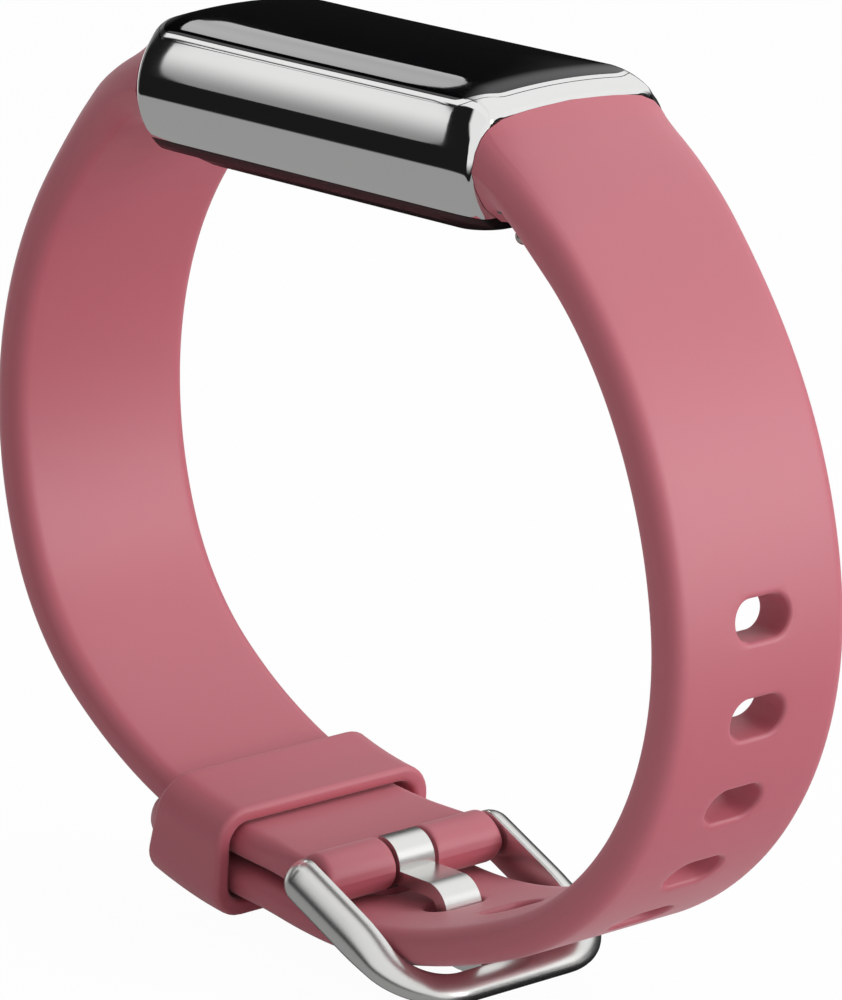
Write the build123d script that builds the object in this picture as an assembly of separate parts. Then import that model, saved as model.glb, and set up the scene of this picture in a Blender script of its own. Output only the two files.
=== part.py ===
from build123d import *
import math
import os

# Fitness tracker band, buckled closed. Millimetres.
# The origin is the centre of the sensor window's skin face. +Z points out of the display,
# +X runs along the tracker towards the strap with the holes, Y runs across the band.
# The model is drawn about the widest line of the case (waist) and lifted when it is written.

# ---- tracker case ----
case_length = 35.2        # between the two strap joints
case_width = 17.55        # at the waist
case_rim_half = 7.5       # half width where the side meets the bezel ring
rim_height = 3.57         # bezel seam above the waist
base_depth = 4.3          # flat bottom below the waist
crown_height = 4.95       # glass crown above the waist
crown_corner_half = 5.4   # where the crown turns down to the side
crown_corner_drop = 0.23  # crown height lost there
end_taper = 3.4           # length at each end where the section shrinks
end_straight = case_length / 2 - end_taper
end_width_top = 7.35      # half width of the top corner at the strap joint
end_top_height = 3.7      # crown height at the strap joint
end_corner_height = 2.55  # height of the top corner at the strap joint
end_wall = 3.6            # metal between the cavity and the strap joint
cavity_half_length = case_length / 2 - end_wall
cavity_radius = 2.4

# ---- glass, bezel and display ----
glass_end_margin = 1.4    # glass tip to the case's end
glass_side_margin = 0.35  # glass edge to the seam with the bezel ring
glass_length = case_length - 2 * glass_end_margin
glass_width = 2 * (case_rim_half - glass_side_margin)
glass_corner = 3.2
glass_underside = 3.05
bezel_rim = 0.42
seam_gap = 0.02
display_end_border = 3.9
display_side_border = 1.85
display_length = glass_length - 2 * display_end_border
display_width = glass_width - 2 * display_side_border
display_thickness = 1.0

# ---- back cover and sensor ----
cover_end_margin = 1.4
cover_length = case_length - 2 * cover_end_margin
cover_width = 13.3
base_half = cover_width / 2
cavity_width = cover_width + 0.1
cover_corner = 3.4
cover_thickness = 0.72
cover_bevel = 0.62
window_length = 13.0
window_width = 8.6
window_thickness = 0.7
window_stand_proud = 0.13
window_corner = 2.6
spigot_top = -3.3
contact_diameter = 1.9
contact_spacing = 6.2
contact_inset = 5.0       # contacts' middle from the cover's end
contact_x = contact_inset - cover_length / 2

# ---- inner tray, battery, boards ----
tray_clearance = 0.1
tray_wall = 0.7
tray_floor = 0.5
tray_bottom = spigot_top
tray_ledge = 0.4          # step that carries the board
tray_top = 2.0
board_low = 0.3
board_thickness = 0.7
package_height = 0.9
motor_bay = 7.4           # tray divider's middle to the cavity's end
divider_x = cavity_half_length - motor_bay
battery_slack = 2.65      # room at the battery's end for its leads
battery_height = 2.7
sensor_board_thickness = 0.5
sensor_stack = 0.45        # room for the emitters between window and sensor board
led_size = 1.5
photodiode_length = 2.6

# ---- vibration motor ----
motor_diameter = 2.9
motor_length = 5.6
motor_shaft_diameter = 0.8
motor_weight_length = 2.2
motor_shaft_clearance = 0.04
motor_weight_gap = 0.4
motor_y = 1.6

# ---- straps ----
strap_width = 15.6
strap_thickness = 2.7
strap_edge_radius = 1.25
root_gap = 0.04
# a root section is (distance beyond the case's end, z, dive in degrees, width, thickness, corner radius)
hole_root = [(1.9, -1.6, 16, 17.1, 5.2, 2.4), (4.7, -3.23, 32, 16.6, 3.4, 1.6)]
buckle_root = [(1.9, -0.95, 20, 17.1, 5.2, 2.4), (4.0, -1.85, 38, 16.7, 3.5, 1.6)]
root_neck = (8.0, 16.1)     # distance along the mid-line and width there
root_end = 13.0             # distance where the plain section starts
# a start is (distance beyond the case's end, z); a run is (mid-line radius, turn in degrees)
hole_strap_start = (1.6, -0.8)
hole_strap_dive = 36.5
hole_strap_lead_in = 1.5
hole_strap_runs = [(36.1, 47.7), (24.3, 52.5), (25.7, 20.0)]
buckle_strap_start = (1.3, 0.9)
buckle_strap_dive = 40.8
buckle_strap_lead_in = 4.6
buckle_strap_runs = [(44.0, 12.5), (29.2, 57.1), (19.5, 31.8), (35.5, 18.8)]
lap_radius = 32.2           # mid-line radius of the buckle strap under the keeper
lap_turn = 15.85
lap_to_barrel = 7.84
lap_gap = 0.3               # between the two straps where they overlap
barrel_gap = 0.08           # barrel to the holed strap below it
under_barrel_rise = 3.0     # slope of the holed strap below the barrel, in degrees
tail_length = 2.6
tail_corner = 5.6
slot_length = 4.7           # across the strap
slot_width = 2.8            # along the strap
slot_pitch = 6.44
slot_count = 10
engaged_slot = 8            # slots counted from the tracker
slot_ahead = 5.956          # engaged slot's middle to the point below the barrel, along the strap

# ---- clasp ----
pin_diameter = 1.6
pin_clearance = 0.03
pin_seat = 1.0              # how far the pin reaches into each arm
barrel_radius = 1.9
barrel_width = 15.8
tongue_width = 3.2
tongue_gap = 0.15
tongue_thickness = 1.05
tongue_eye_radius = 1.5
tongue_wrap_start = -0.43
tongue_drop = 0.7           # bridge of the tongue below the pin
tongue_shift = 0.5          # tongue's place in its slot
tongue_bend = 1.5
tongue_exit = 2.0
tongue_swing = 11.0         # degrees the tongue can swing out before it meets the strap
frame_slope = 23.8
frame_reach = 12.4         # pin to the inner face of the far bar
frame_wire_width = 1.9
frame_arm_height = 3.4
frame_bar_height = 2.0
frame_thinning = 6.0        # from here the wire thins towards the far bar
frame_side_gap = 0.3        # strap edge to arm
frame_corner = 3.5          # inside corner
groove_depth = 1.13         # seat of the tongue's tip, under the bar's inner edge
groove_length = 0.95
keeper_length = 7.6
keeper_corner = 2.4
keeper_wall = 0.95
keeper_side_wall = 1.1
keeper_clearance = 0.12
keeper_side_clearance = 0.6
keeper_setback = 7.6        # keeper's middle, degrees from the lap's barrel end

# ---- quick-release spring bars ----
bar_diameter = 1.5
bar_tip_diameter = 0.8
bar_standoff = 0.9        # bar axis beyond the case's end
bar_x = case_length / 2 + bar_standoff
bar_z = -2.5
lug_inner_half = 6.1
lug_thickness = 1.1
lug_half_height = 1.1
lug_gap = 0.12
bar_clearance = 0.03
tip_engagement = 0.9
release_travel = 1.2
knob_diameter = 1.15
knob_y = -4.9
knob_bottom = -5.25
knob_slack = 0.14
bar_bore = 1.14
bar_stem = 0.7
bore_depth = 7.0
plunger_length = 2.4


def lift(shape):
    return Pos(0, 0, base_depth + cover_thickness + window_stand_proud) * shape


def save(node, shape):
    os.makedirs("parts", exist_ok=True)
    shape = lift(shape)
    shape.label = node
    export_step(shape, f"parts/{node}.step")
    print(node, round(shape.volume, 2))


# ---- outlines and paths ----

def strap_path(start, dive, lead_in, runs, side):
    """Edges of a strap's mid-line in XZ: a straight lead-in, then tangent arcs.

    dive is the slope below horizontal in degrees; side is +1 for the +X strap, -1 for the other.
    """
    point = Vector(side * (case_length / 2 + start[0]), start[1])
    direction = Vector(side * math.cos(math.radians(dive)), -math.sin(math.radians(dive)))
    edges = [Line(point, point + direction * lead_in)]
    for radius, turn in runs:
        edges.append(JernArc(edges[-1] @ 1, edges[-1] % 1, radius, -side * turn))
    return edges


def biarc(start, start_direction, end, end_direction):
    """Two arcs that leave one point and reach another, tangent at both and to each other."""
    span = end - start
    both = start_direction + end_direction
    spread = 2 * (1 - start_direction.dot(end_direction))
    reach = span.dot(both)
    if spread < 1e-6:
        arm = span.dot(span) / (4 * span.dot(end_direction))
    else:
        arm = (math.sqrt(reach * reach + spread * span.dot(span)) - reach) / spread
    joint = (start + end + (start_direction - end_direction) * arm) * 0.5
    first = TangentArc(start, joint, tangent=start_direction)
    second = TangentArc(joint, end, tangent=first % 1)
    return [first, second]


def in_side_view(shape):
    return Plane.XZ * shape


def section_plane(path, distance):
    here = path.position_at(distance, position_mode=PositionMode.LENGTH)
    along = path.tangent_at(distance, position_mode=PositionMode.LENGTH)
    return Plane(origin=here, x_dir=(0, 1, 0), z_dir=along)


def strap_section(path, distance, width, thickness, radius):
    return section_plane(path, distance) * RectangleRounded(width, thickness, radius)


def across(shape, half_width):
    """Extrude a face drawn in XZ evenly to both sides of the band's middle."""
    return extrude(in_side_view(shape), half_width, both=True)


def case_outline(x, bottom_half, bottom_z, waist_half, top_half, top_z, crown_half, crown_z, crown_drop):
    """Closed YZ outline of the case: flat bottom, one arc per side, rounded corner and crown."""
    corner_y = (top_half + crown_half) / 2 + 0.25
    corner_z = (top_z + crown_z - crown_drop) / 2 + 0.16
    right = [(bottom_half, bottom_z), (waist_half, 0), (top_half, top_z)]
    corner = [(top_half, top_z), (corner_y, corner_z), (crown_half, crown_z - crown_drop)]
    side_arc = ThreePointArc(*right)
    corner_arc = ThreePointArc(*corner)
    crown = ThreePointArc((crown_half, crown_z - crown_drop), (0, crown_z), (-crown_half, crown_z - crown_drop))
    left_corner = ThreePointArc(*[(-y, z) for y, z in reversed(corner)])
    left_side = ThreePointArc(*[(-y, z) for y, z in reversed(right)])
    bottom = Line((-bottom_half, bottom_z), (bottom_half, bottom_z))
    outline = make_face([side_arc, corner_arc, crown, left_corner, left_side, bottom])
    return Plane(origin=(x, 0, 0), x_dir=(0, 1, 0), z_dir=(1, 0, 0)) * outline


def middle_outline(x):
    return case_outline(x, base_half, -base_depth, case_width / 2, case_rim_half, rim_height,
                        crown_corner_half, crown_height, crown_corner_drop)


def end_outline(x, shrink=0.0):
    return case_outline(x, base_half - 0.9, -base_depth + shrink, case_width / 2 - shrink,
                        end_width_top - shrink, end_corner_height, crown_corner_half + 0.7,
                        end_top_height - shrink, 0.5)


def shoulder_outline(x):
    return case_outline(x, base_half - 0.35, -base_depth, case_width / 2, end_width_top + 0.13,
                        rim_height - 0.3, crown_corner_half + 0.25, crown_height - 0.45, 0.33)


def plan_prism(length, width, radius, low, high):
    return Pos(0, 0, low) * extrude(RectangleRounded(length, width, radius), high - low)


# ---- the tracker ----

def tracker_form():
    """The outside of case, bezel and glass together."""
    middle = extrude(middle_outline(-end_straight), 2 * end_straight)
    half = case_length / 2
    sections = [middle_outline(end_straight), shoulder_outline(glass_length / 2 + 0.1), end_outline(half)]
    end = loft(sections)
    return middle + end + Rot(0, 0, 180) * end


def glass_prism(extra, low):
    return plan_prism(glass_length + 2 * extra, glass_width + 2 * extra, glass_corner + extra, low, crown_height + 1)


def lugs():
    blocks = Part()
    for turn in (0, 180):
        for hand in (-1, 1):
            y = hand * (lug_inner_half + lug_thickness / 2)
            root = case_length / 2 - 1.0
            arm = Pos((root + bar_x) / 2, y, bar_z) * Box(bar_x - root, lug_thickness, 2 * lug_half_height)
            eye = Pos(bar_x, y, bar_z) * Rot(90, 0, 0) * Cylinder(lug_half_height, lug_thickness)
            blocks += Rot(0, 0, turn) * (arm + eye)
    return blocks


def lug_holes():
    radius = bar_tip_diameter / 2 + bar_clearance
    length = 2 * (lug_inner_half + tip_engagement + 0.1)
    hole = Pos(bar_x, 0, bar_z) * Rot(90, 0, 0) * Cylinder(radius, length)
    return hole + Rot(0, 0, 180) * hole


def cavity(low, high):
    return plan_prism(2 * cavity_half_length, cavity_width, cavity_radius, low, high)


def make_case(form):
    bezel_seat = glass_prism(bezel_rim, rim_height)
    body = form - bezel_seat - cavity(-base_depth - 1, rim_height + 1) - glass_prism(seam_gap, glass_underside)
    return body + lugs() - lug_holes()


def make_glass(form):
    return form & glass_prism(0, glass_underside)


def make_bezel(form):
    ring = glass_prism(bezel_rim, rim_height + seam_gap) - glass_prism(seam_gap, 0)
    return form & ring


def make_back_cover():
    plate = plan_prism(cover_length, cover_width, cover_corner, -base_depth - cover_thickness, -base_depth)
    bottom_edges = plate.faces().sort_by(Axis.Z)[0].edges()
    plate = chamfer(bottom_edges, cover_bevel, cover_bevel * 1.9)
    spigot_width = cavity_width - 2 * tray_clearance
    spigot_length = 2 * cavity_half_length - 2 * tray_clearance
    spigot = plan_prism(spigot_length, spigot_width, cavity_radius - tray_clearance, -base_depth, spigot_top)
    inside = plan_prism(spigot_length - 2 * tray_wall, spigot_width - 2 * tray_wall, cavity_radius - tray_wall,
                        -base_depth, spigot_top)
    window_hole = plan_prism(window_length, window_width, window_corner, -base_depth - 2, -base_depth + 1)
    seat = plan_prism(window_length + 3.0, window_width + 1.4, window_corner, -base_depth, sensor_faces()[1])
    cover = plate + (spigot - inside) + seat - window_hole
    for hand in (-1, 1):
        cover -= Pos(contact_x, hand * contact_spacing / 2, -base_depth) * Cylinder(contact_diameter / 2 + 0.01, 3)
    return cover


def block(x, y, length, width, low, high):
    return Pos(x, y, (low + high) / 2) * Box(length, width, high - low)


def make_display():
    top = glass_underside
    return plan_prism(display_length, display_width, 1.2, top - display_thickness, top)


def make_tray():
    """Open moulded tray that fills the cavity and holds battery, board and motor."""
    length = 2 * (cavity_half_length - tray_clearance)
    width = cavity_width - 2 * tray_clearance
    radius = cavity_radius - tray_clearance
    shell = plan_prism(length, width, radius, tray_bottom, tray_top)
    inset = 2 * (tray_wall + tray_ledge)
    lower = plan_prism(length - inset, width - inset, radius - tray_wall, tray_bottom + tray_floor, board_low)
    upper = plan_prism(length - 2 * tray_wall, width - 2 * tray_wall, radius - tray_wall, board_low, tray_top)
    divider = block(divider_x, 0, tray_wall, width - inset, tray_bottom + tray_floor, board_low)
    return shell - lower - upper + divider


def make_battery():
    low = tray_bottom + tray_floor
    width = cavity_width - 2 * (tray_clearance + tray_wall + tray_ledge) - 0.3
    bay_start = tray_clearance + tray_wall + tray_ledge - cavity_half_length
    bay_end = divider_x - tray_wall / 2
    length = bay_end - bay_start - battery_slack
    return Pos(bay_end - length / 2, 0, low) * extrude(RectangleRounded(length, width, 1.0), battery_height)


def board_width():
    return cavity_width - 2 * (tray_clearance + tray_wall) - 0.2


def board_length():
    return 2 * (cavity_half_length - tray_clearance - tray_wall) - 0.2


def make_board():
    return plan_prism(board_length(), board_width(), 1.4, board_low, board_low + board_thickness)


def make_shields():
    """Processor, radio and memory packages on the display side of the board."""
    top = board_low + board_thickness
    parts = Part()
    for share, length, width in [(-0.29, 7.0, 7.4), (0.023, 5.4, 5.4), (0.237, 3.2, 4.2)]:
        parts += block(share * board_length(), 0, length, width, top, top + package_height)
    return parts


def motor_place():
    x = (divider_x + tray_wall / 2 + cavity_half_length - tray_clearance - tray_wall - tray_ledge) / 2
    z = tray_bottom + tray_floor + motor_diameter / 2
    return x, z


def make_motor():
    x, z = motor_place()
    can = Cylinder(motor_diameter / 2, motor_length)
    bore = Cylinder(motor_shaft_diameter / 2 + motor_shaft_clearance, motor_length)
    return Pos(x, motor_y, z) * Rot(90, 0, 0) * (can - Pos(0, 0, 0.6) * bore)


def make_motor_rotor():
    """Shaft with an off-centre half-round weight outside the can."""
    x, z = motor_place()
    shaft_length = motor_length - 1.2 + motor_weight_gap + motor_weight_length
    outer_end = motor_y - motor_length / 2 - motor_weight_gap - motor_weight_length
    shaft = Pos(x, outer_end + shaft_length / 2, z) * Rot(90, 0, 0) * Cylinder(motor_shaft_diameter / 2, shaft_length)
    radius = motor_diameter / 2 - 0.15
    weight = Cylinder(radius, motor_weight_length) & Pos(0, radius / 2 - 0.4, 0) * Box(4 * radius, radius + 0.8, 9)
    weight = Pos(x, outer_end + motor_weight_length / 2, z) * Rot(90, 0, 0) * Rot(0, 0, 180) * weight
    return shaft + weight


def make_sensor_board():
    low = -base_depth - cover_thickness - window_stand_proud + window_thickness + sensor_stack
    return plan_prism(window_length + 4, window_width + 1.6, 1.0, low, low + sensor_board_thickness)


def sensor_faces():
    low = -base_depth - cover_thickness - window_stand_proud + window_thickness
    return low, low + sensor_stack


def make_leds():
    low, high = sensor_faces()
    parts = Part()
    for y in (-2.2, 0, 2.2):
        parts += block(0, y, led_size, led_size, low + 0.05, high)
    return parts


def make_photodiodes():
    low, high = sensor_faces()
    parts = Part()
    for x in (-4.2, 4.2):
        parts += block(x, 0, photodiode_length, photodiode_length * 1.5, low + 0.05, high)
    return parts


def make_window():
    low = -base_depth - cover_thickness - window_stand_proud
    return plan_prism(window_length, window_width, window_corner, low, low + window_thickness)


def make_contacts():
    parts = Part()
    low = -base_depth - cover_thickness
    for hand in (-1, 1):
        pin = Cylinder(contact_diameter / 2, cover_thickness + 0.5, align=(Align.CENTER, Align.CENTER, Align.MIN))
        parts += Pos(contact_x, hand * contact_spacing / 2, low + 0.04) * pin
    return parts


def make_flex():
    """Ribbon from the display's end, over the board's end, down to the board."""
    x = display_length / 2
    top = glass_underside - display_thickness
    low = board_low + board_thickness
    return block(x - 2.2, 0, 2.4, 5.0, low, top)


# ---- quick-release spring bars ----

def on_bar(shape):
    """Put a piece drawn along Z, centred, onto the +X end's bar axis, along Y."""
    return Pos(bar_x, 0, bar_z) * Rot(90, 0, 0) * shape


def tube_half():
    return lug_inner_half - lug_gap


def knob_slot(extra):
    """Window for the knob's stem, from the bar down to the strap's underside."""
    length = bar_stem + release_travel + 2 * (knob_slack + extra)
    y = knob_y + release_travel / 2
    return Pos(bar_x, y, bar_z - 2) * Box(bar_stem + 2 * (knob_slack + extra), length, 4)


def make_bar_tube():
    """Fixed sleeve with its own solid tip on the +Y side, a plunger on the -Y side."""
    half = tube_half()
    sleeve = Cylinder(bar_diameter / 2, 2 * half)
    bore_length = bore_depth
    bore = Pos(0, 0, half - bore_length / 2) * Cylinder(bar_bore / 2, bore_length)
    tip_length = tip_engagement + lug_gap
    tip = Pos(0, 0, -half - tip_length / 2) * Cylinder(bar_tip_diameter / 2, tip_length)
    return on_bar(sleeve - bore + tip) - knob_slot(0)


def make_plunger():
    """Sliding tip with the knob on a stem below it."""
    half = tube_half()
    inner = half - plunger_length
    radius = bar_bore / 2 - bar_clearance
    body = Pos(0, 0, inner + plunger_length / 2 - 0.25) * Cylinder(radius, plunger_length - 0.5)
    tip_start = half - 0.5
    tip_length = half + lug_gap + tip_engagement - tip_start
    tip = Pos(0, 0, tip_start + tip_length / 2) * Cylinder(bar_tip_diameter / 2, tip_length)
    stem_length = bar_z - knob_bottom - knob_diameter / 2
    stem = Pos(bar_x, knob_y, bar_z - stem_length / 2) * Cylinder(bar_stem / 2, stem_length)
    knob = Pos(bar_x, knob_y, knob_bottom + knob_diameter / 2) * Sphere(knob_diameter / 2)
    return on_bar(body + tip) + stem + knob


def make_bar_spring():
    """Closed sleeve that stands for the coil between the plunger and the bore's end."""
    half = tube_half()
    start = half - bore_depth
    length = bore_depth - plunger_length
    radius = bar_bore / 2 - bar_clearance
    ring = Cylinder(radius, length - 0.02) - Cylinder(radius - 0.2, length)
    return on_bar(Pos(0, 0, start + length / 2) * ring)


def rear(shape):
    return Rot(0, 0, 180) * shape


# ---- straps ----

def buckle_mid_line():
    edges = strap_path(buckle_strap_start, buckle_strap_dive, buckle_strap_lead_in, buckle_strap_runs, -1)
    edges.append(JernArc(edges[-1] @ 1, edges[-1] % 1, lap_radius, lap_turn))
    lap = edges[-1]
    edges.append(Line(lap @ 1, lap @ 1 + (lap % 1) * lap_to_barrel))
    return edges, lap


def hole_mid_line():
    """From the tracker, round to a point below the barrel, along the lap and on to the tail."""
    buckle_edges, lap = buckle_mid_line()
    pin = buckle_edges[-1] @ 1
    rise = math.radians(under_barrel_rise)
    below = pin + Vector(0, -(barrel_radius + barrel_gap + strap_thickness / 2))
    below_direction = Vector(-math.cos(rise), math.sin(rise))
    spacing = strap_thickness + lap_gap
    back = (lap % 1) * -1
    lap_start = lap @ 1 + Vector(-back.Y, back.X) * spacing
    edges = strap_path(hole_strap_start, hole_strap_dive, hole_strap_lead_in, hole_strap_runs, 1)
    edges += biarc(edges[-1] @ 1, edges[-1] % 1, below, below_direction)
    edges += biarc(below, edges[-1] % 1, lap_start, back)
    edges.append(JernArc(edges[-1] @ 1, back, lap_radius + spacing, -lap_turn))
    edges.append(Line(edges[-1] @ 1, edges[-1] @ 1 + (edges[-1] % 1) * tail_length))
    return edges


def strap_body(edges, root, side):
    """Lofted root at the tracker, then one even rounded section along the mid-line."""
    path = in_side_view(Wire(edges))
    height = end_top_height + base_depth
    facing = Plane(origin=(side * (case_length / 2 + root_gap), 0, (end_top_height - base_depth) / 2),
                   x_dir=(0, 1, 0), z_dir=(side, 0, 0))
    sections = [facing * RectangleRounded(case_width - 0.05, height - 0.05, height / 2 - 0.1)]
    for beyond, z, dive, width, thickness, radius in root:
        slope = math.radians(dive)
        plane = Plane(origin=(side * (case_length / 2 + beyond), 0, z), x_dir=(0, 1, 0),
                      z_dir=(side * math.cos(slope), 0, -math.sin(slope)))
        sections.append(plane * RectangleRounded(width, thickness, radius))
    neck_distance, neck_width = root_neck
    sections.append(strap_section(path, neck_distance, neck_width, strap_thickness + 0.1, strap_edge_radius))
    plain = strap_section(path, root_end, strap_width, strap_thickness, strap_edge_radius)
    sections.append(plain)
    start = root_end / path.length
    run = path.trim(start, 1.0)
    return loft(sections) + sweep(plain, path=run)


def lug_pockets(side):
    """Room in the strap's root for the case's lugs and for the spring bar."""
    turn = Rot(0, 0, 0 if side > 0 else 180)
    pockets = Part()
    for hand in (-1, 1):
        y = hand * (lug_inner_half + lug_thickness / 2)
        reach = bar_x + lug_half_height + lug_gap - case_length / 2 + 1
        pockets += Pos(case_length / 2 - 1 + reach / 2, y, bar_z) * Box(reach, lug_thickness + 2 * lug_gap,
                                                                     2 * (lug_half_height + lug_gap))
    bar_hole = on_bar(Cylinder(bar_diameter / 2 + bar_clearance, 2 * lug_inner_half))
    return turn * (pockets + bar_hole + knob_slot(knob_slack))


def make_buckle_strap():
    edges, lap = buckle_mid_line()
    pin = edges[-1] @ 1
    strap = strap_body(edges, buckle_root, -1)
    barrel = Pos(pin.X, 0, pin.Y) * Rot(90, 0, 0) * Cylinder(barrel_radius, barrel_width)
    eye = tongue_eye(pin, tongue_gap)
    swung_eye = Pos(pin.X, pin.Y) * Rot(0, 0, -tongue_swing) * Pos(-pin.X, -pin.Y) * eye
    window = across(eye + swung_eye, tongue_width / 2 + tongue_gap)
    reach = 2 * barrel_radius
    ahead = Pos(pin.X + tongue_wrap_start + reach / 2, 0, pin.Y) * Box(reach, tongue_width + 2 * tongue_gap, 2 * reach)
    pin_hole = Pos(pin.X, 0, pin.Y) * Rot(90, 0, 0) * Cylinder(pin_diameter / 2 + pin_clearance, 2 * barrel_width)
    return strap + barrel - window - ahead - pin_hole - lug_pockets(-1)


def tongue_eye(pin, gap):
    """Side view of the tongue's eye: full wrap ahead of the pin, slimmer behind it."""
    wrap = Circle(barrel_radius + gap) & Pos(50 + tongue_wrap_start - gap, 0) * Rectangle(100, 100)
    return Pos(pin.X, pin.Y) * (wrap + Circle(tongue_eye_radius + gap))


def make_hole_strap():
    edges = hole_mid_line()
    path = in_side_view(Wire(edges))
    strap = strap_body(edges, hole_root, 1)
    for number in range(1, slot_count + 1):
        here = section_plane(path, slot_distance(edges, number))
        face_on = Plane(origin=here.origin, x_dir=(0, 1, 0), z_dir=here.y_dir)
        strap -= extrude(face_on * SlotOverall(slot_length, slot_width), strap_thickness, both=True)
    return strap - tail_corners(path) - lug_pockets(1)


def tail_corners(path):
    """What the rounded tail leaves off a square-cut one."""
    end = section_plane(path, path.length)
    flat = Plane(origin=end.origin, x_dir=end.z_dir, z_dir=end.y_dir)
    square = Pos(-tail_corner / 2 + 0.5, 0) * Rectangle(tail_corner + 1, strap_width + 1)
    kept = Pos(-strap_width / 2, 0) * RectangleRounded(strap_width, strap_width, tail_corner)
    return extrude(flat * (square - kept), strap_thickness, both=True)


def slot_distance(edges, number):
    """Distance of a slot along the mid-line, so that the engaged one meets the tongue."""
    to_barrel = sum(edge.length for edge in edges[:len(hole_strap_runs) + 3])
    return to_barrel - slot_ahead + (number - engaged_slot) * slot_pitch


def slot_place(number):
    edges = hole_mid_line()
    return section_plane(in_side_view(Wire(edges)), slot_distance(edges, number)).origin


# ---- clasp ----

def pin_place():
    edges, lap = buckle_mid_line()
    return edges[-1] @ 1


def frame_plane(pin):
    slope = math.radians(frame_slope)
    return Plane(origin=(pin.X, 0, pin.Y), x_dir=(math.cos(slope), 0, -math.sin(slope)),
                 z_dir=(math.sin(slope), 0, math.cos(slope)))


def wire_share(x):
    """How far the frame's wire has thinned, from the arms (0) to the far bar (1)."""
    share = min(1, max(0, (x - frame_thinning) / (frame_reach - frame_thinning)))
    return share * share * (3 - 2 * share)


def wire_section(x, y, facing):
    """The wire is flat towards the opening and a half ellipse outside; facing is its outward angle."""
    share = wire_share(x)
    height = frame_arm_height + (frame_bar_height - frame_arm_height) * share
    out = math.radians(facing)
    plane = Plane(origin=(x, y, 0), x_dir=(math.cos(out), math.sin(out), 0), z_dir=(-math.sin(out), math.cos(out), 0))
    back = Line((0, height / 2), (0, -height / 2))
    front = EllipticalCenterArc((0, 0), frame_wire_width, height / 2, start_angle=-90, arc_size=180)
    return plane * make_face([back, front])


def make_frame():
    """U-shaped frame with blind pin seats; half is drawn and mirrored."""
    inner_half = strap_width / 2 + frame_side_gap
    bend = frame_reach - frame_corner
    thinned = [frame_thinning + (bend - frame_thinning) * step / 3 for step in range(4)]
    places = [(x, -inner_half, -90) for x in [0] + thinned]
    for step in range(1, 13):
        facing = 7.5 * step - 90
        out = math.radians(facing)
        places.append((bend + frame_corner * math.cos(out), frame_corner - inner_half + frame_corner * math.sin(out),
                       facing))
    places.append((frame_reach, 0, 0))
    wire = loft([wire_section(*place) for place in places], ruled=True)
    half = wire + make_arm_end(inner_half)
    whole = half + mirror(half, Plane.XZ)
    seat = 2 * (inner_half + pin_seat + 0.1)
    whole -= Rot(90, 0, 0) * Cylinder(pin_diameter / 2 + pin_clearance, seat)
    groove = Pos(frame_reach, 0, -frame_bar_height / 2) * Box(2 * groove_length, tongue_width + 2 * tongue_gap,
                                                              2 * groove_depth)
    return frame_plane(pin_place()) * (whole - groove)


def make_arm_end(inner_half):
    """Round end of an arm: half of its section turned about the pin."""
    plane = Plane(origin=(0, -inner_half, 0), x_dir=(0, -1, 0), z_dir=(-1, 0, 0))
    top = frame_arm_height / 2
    profile = make_face([Line((0, 0), (0, top)), EllipticalCenterArc((0, 0), frame_wire_width, top, start_angle=0, arc_size=90),
                         Line((frame_wire_width, 0), (0, 0))])
    return revolve(plane * profile, Axis((0, 0, 0), (0, -1, 0)), 180)


def make_tongue():
    """Eye round the pin, bridge, bend down through the slot, and a tip in the frame's groove."""
    pin = pin_place()
    slot = slot_place(engaged_slot)
    plane = frame_plane(pin)
    seat = -frame_bar_height / 2 + groove_depth - tongue_gap / 2 - tongue_thickness / 2
    knee = plane.from_local_coords((frame_reach - 0.6, 0, seat))
    tip = plane.from_local_coords((frame_reach + groove_length - tongue_gap, 0, seat))
    start = (pin.X + barrel_radius - tongue_thickness, pin.Y - tongue_drop)
    bend = (slot.X + tongue_shift - 0.1, pin.Y - tongue_drop)
    leave = (slot.X + tongue_shift, slot.Z - tongue_exit)
    line = FilletPolyline(start, bend, leave, (knee.X, knee.Z), (tip.X, tip.Z), radius=tongue_bend)
    blade = trace(line, line_width=tongue_thickness)
    eye = tongue_eye(pin, 0) - Pos(pin.X, pin.Y) * Circle(pin_diameter / 2 + pin_clearance)
    return across(blade + eye, tongue_width / 2) - pin_bore(pin)


def pin_bore(pin):
    return Pos(pin.X, 0, pin.Y) * Rot(90, 0, 0) * Cylinder(pin_diameter / 2 + pin_clearance, 50)


def make_pin():
    pin = pin_place()
    half = strap_width / 2 + frame_side_gap + pin_seat
    return Pos(pin.X, 0, pin.Y) * Rot(90, 0, 0) * Cylinder(pin_diameter / 2, 2 * half)


def make_keeper():
    """Loop round both straps, bent to the lap's own curve."""
    edges, lap = buckle_mid_line()
    centre = lap.arc_center
    spacing = strap_thickness + lap_gap
    radius = lap_radius + spacing / 2
    barrel_end = math.degrees(math.atan2((lap @ 1).Y - centre.Y, (lap @ 1).X - centre.X))
    middle = barrel_end - keeper_setback
    spread = math.degrees(keeper_length / radius)
    arc = CenterArc(centre, radius, middle - spread / 2, spread)
    path = in_side_view(arc)
    height = 2 * strap_thickness + lap_gap + 2 * keeper_clearance
    width = strap_width + 2 * keeper_side_clearance
    plane = section_plane(path, 0)
    hole = RectangleRounded(width, height, keeper_corner - keeper_wall)
    wall = RectangleRounded(width + 2 * keeper_side_wall, height + 2 * keeper_wall, keeper_corner)
    return sweep(plane * (wall - hole), path=path)


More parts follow.
